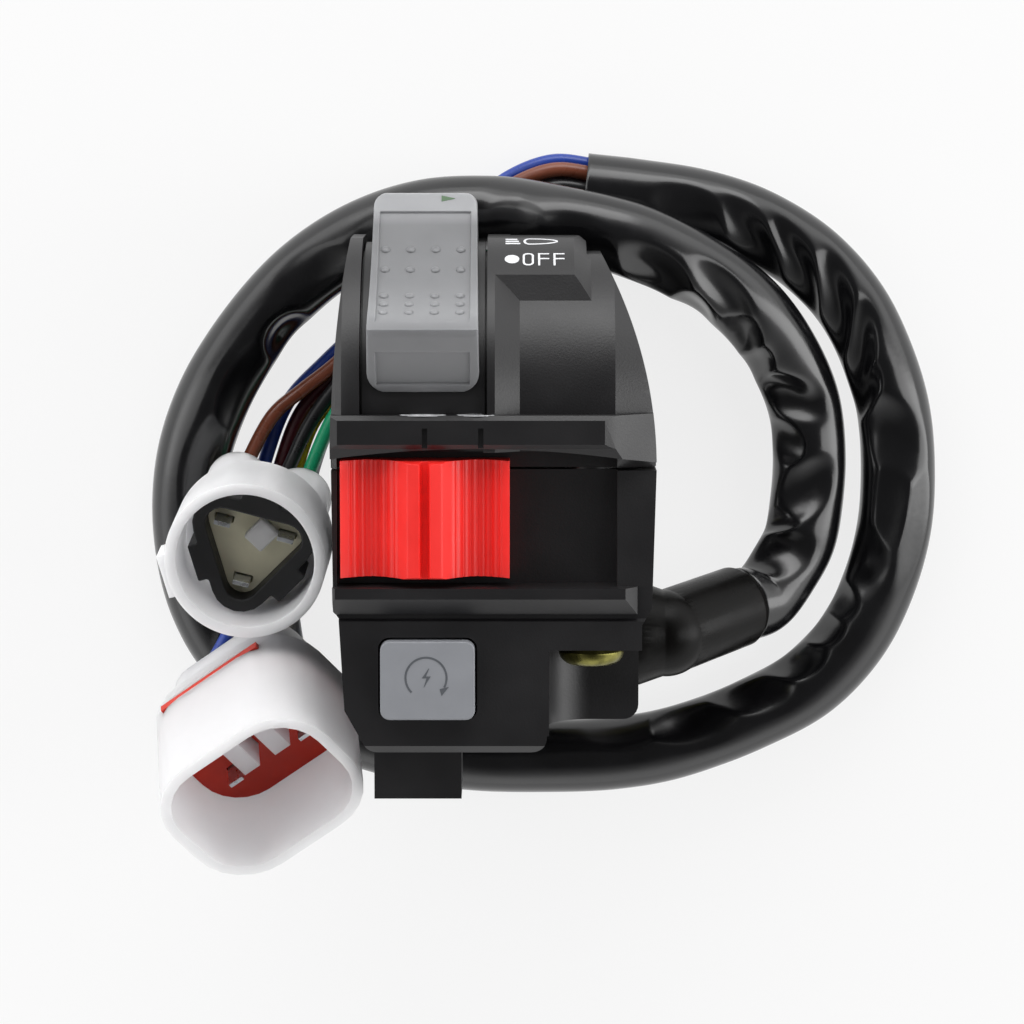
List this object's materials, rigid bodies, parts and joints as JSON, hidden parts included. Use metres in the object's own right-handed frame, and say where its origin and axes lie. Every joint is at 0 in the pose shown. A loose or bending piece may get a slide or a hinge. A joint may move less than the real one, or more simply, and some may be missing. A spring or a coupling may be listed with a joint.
{
  "type": "handlebar switch cluster",
  "caption": "Split handlebar switch housing with a light lever, an engine stop slider, a start button, a sheathed loom and two sealed connectors.",
  "frame": {"origin": "centre of the handlebar bore, on the split between the two cases", "axes": "X along the handlebar, Y from the lower case to the upper case, Z out of the control face"},
  "size_m": [0.1088, 0.0957, 0.0506],
  "materials": {
    "case": "satin moulded black",
    "lever_grey": "translucent grey, smooth",
    "stop_red": "smooth moulded red",
    "button_grey": "smooth moulded grey",
    "carrier": "natural moulded",
    "base": "phenolic board",
    "zinc": "yellow zinc plate",
    "steel": "bright",
    "brass": "bright stamped",
    "boot_rubber": "semi-gloss",
    "sheath_vinyl": "glossy soft vinyl",
    "nylon_white": "natural white",
    "seal_rubber": "matte",
    "insert_cream": "natural cream",
    "retainer_red": "moulded red",
    "wire_seal": "soft",
    "wire_brown": "wire insulation",
    "wire_black": "wire insulation",
    "wire_green": "wire insulation",
    "wire_blue": "wire insulation",
    "wire_maroon": "wire insulation",
    "wire_yellow": "wire insulation",
    "wire_grey": "wire insulation"
  },
  "bodies": {
    "housing": {"upper_case": "case", "lower_case": "case", "clamp_screws": "zinc", "base_screws": "steel", "light_base": "base", "light_terminals": "brass", "light_detent_ball": "steel", "light_detent_spring": "steel", "stop_base": "base", "stop_terminals": "brass", "stop_detent_ball": "steel", "stop_detent_spring": "steel", "start_base": "base", "start_terminals": "brass", "start_spring": "steel", "boot": "boot_rubber", "sheath": "sheath_vinyl", "wire_brown": "wire_brown", "wire_black": "wire_black", "wire_green": "wire_green", "wire_blue": "wire_blue", "wire_maroon": "wire_maroon", "wire_yellow": "wire_yellow", "wire_grey": "wire_grey", "plug3_shell": "nylon_white", "plug3_seal": "seal_rubber", "plug3_insert": "insert_cream", "plug3_pins": "steel", "plug3_wire_seals": "wire_seal", "plug4_shell": "nylon_white", "plug4_retainer": "retainer_red", "plug4_pins": "steel", "plug4_wire_seals": "wire_seal"},
    "light_lever": {"light_knob": "lever_grey", "light_drum": "case", "light_contact": "brass"},
    "stop_slider": {"stop_knob": "stop_red", "stop_carrier": "carrier", "stop_contact": "brass"},
    "start_key": {"start_button": "button_grey", "start_contact": "brass"}
  },
  "joints": [
    {"name": "light_turn", "type": "hinge", "parent": "housing", "child": "light_lever", "pos_m": [0, 0.008, 0.002], "axis": [-1, 0, 0], "range_deg": [0, 19]},
    {"name": "stop_slide", "type": "slide", "parent": "housing", "child": "stop_slider", "axis": [1, 0, 0], "range_m": [0, 0.0072]},
    {"name": "start_press", "type": "slide", "parent": "housing", "child": "start_key", "axis": [0, 0, -1], "range_m": [0, 0.0025], "stiffness_N_per_m": 400, "springref_m": -0.003, "deforming": ["start_spring"]}
  ]
}
